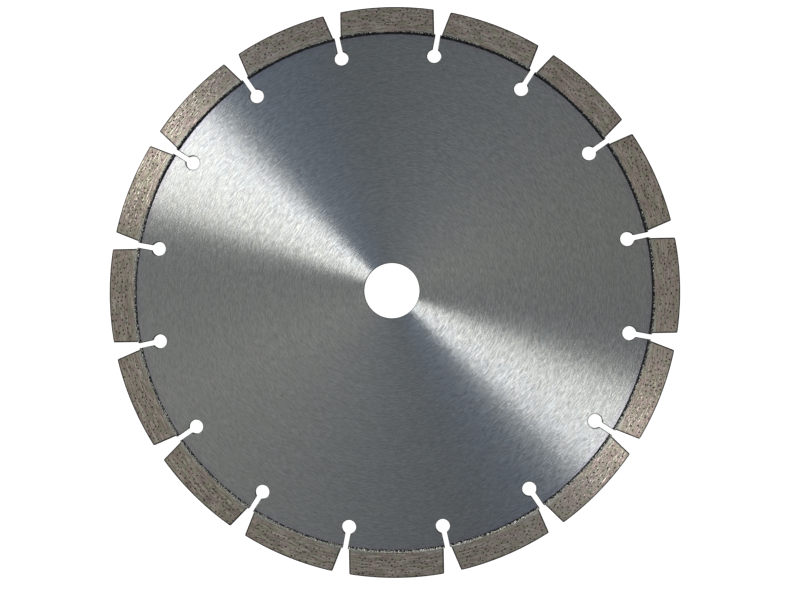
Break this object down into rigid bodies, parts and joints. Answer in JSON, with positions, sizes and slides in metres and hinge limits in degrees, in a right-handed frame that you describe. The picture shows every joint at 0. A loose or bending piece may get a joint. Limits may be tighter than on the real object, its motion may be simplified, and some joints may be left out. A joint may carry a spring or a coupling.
{
  "type": "segmented diamond blade",
  "caption": "Flat steel disc with a round arbor bore, keyhole slots in its rim, and straight-ended diamond segments laser-welded round it, for dry cutting of masonry and concrete.",
  "frame": {"origin": "centre of the arbor bore, at mid thickness", "axes": "+Z along the blade's axis; +X through the middle of segment 1, and the numbers run counter-clockwise seen from +Z"},
  "size_m": [0.23, 0.23, 0.0026],
  "materials": {
    "core_steel": "ground in fine circles about the axis, so that one light shows as two opposite bright fans",
    "weld_oxide": "dark, rippled laser weld with small bright specks of spatter",
    "foot_metal": "ground, grey, free of grit",
    "diamond_bond": "ground along the segment, brownish bronze and iron bond with dark grit and small pits"
  },
  "bodies": {
    "root": {"core": "core_steel", "weld_bead_01": "weld_oxide", "weld_bead_02": "weld_oxide", "weld_bead_03": "weld_oxide", "weld_bead_04": "weld_oxide", "weld_bead_05": "weld_oxide", "weld_bead_06": "weld_oxide", "weld_bead_07": "weld_oxide", "weld_bead_08": "weld_oxide", "weld_bead_09": "weld_oxide", "weld_bead_10": "weld_oxide", "weld_bead_11": "weld_oxide", "weld_bead_12": "weld_oxide", "weld_bead_13": "weld_oxide", "weld_bead_14": "weld_oxide", "weld_bead_15": "weld_oxide", "weld_bead_16": "weld_oxide", "segment_foot_01": "foot_metal", "segment_foot_02": "foot_metal", "segment_foot_03": "foot_metal", "segment_foot_04": "foot_metal", "segment_foot_05": "foot_metal", "segment_foot_06": "foot_metal", "segment_foot_07": "foot_metal", "segment_foot_08": "foot_metal", "segment_foot_09": "foot_metal", "segment_foot_10": "foot_metal", "segment_foot_11": "foot_metal", "segment_foot_12": "foot_metal", "segment_foot_13": "foot_metal", "segment_foot_14": "foot_metal", "segment_foot_15": "foot_metal", "segment_foot_16": "foot_metal", "diamond_layer_01": "diamond_bond", "diamond_layer_02": "diamond_bond", "diamond_layer_03": "diamond_bond", "diamond_layer_04": "diamond_bond", "diamond_layer_05": "diamond_bond", "diamond_layer_06": "diamond_bond", "diamond_layer_07": "diamond_bond", "diamond_layer_08": "diamond_bond", "diamond_layer_09": "diamond_bond", "diamond_layer_10": "diamond_bond", "diamond_layer_11": "diamond_bond", "diamond_layer_12": "diamond_bond", "diamond_layer_13": "diamond_bond", "diamond_layer_14": "diamond_bond", "diamond_layer_15": "diamond_bond", "diamond_layer_16": "diamond_bond"}
  },
  "joints": []
}
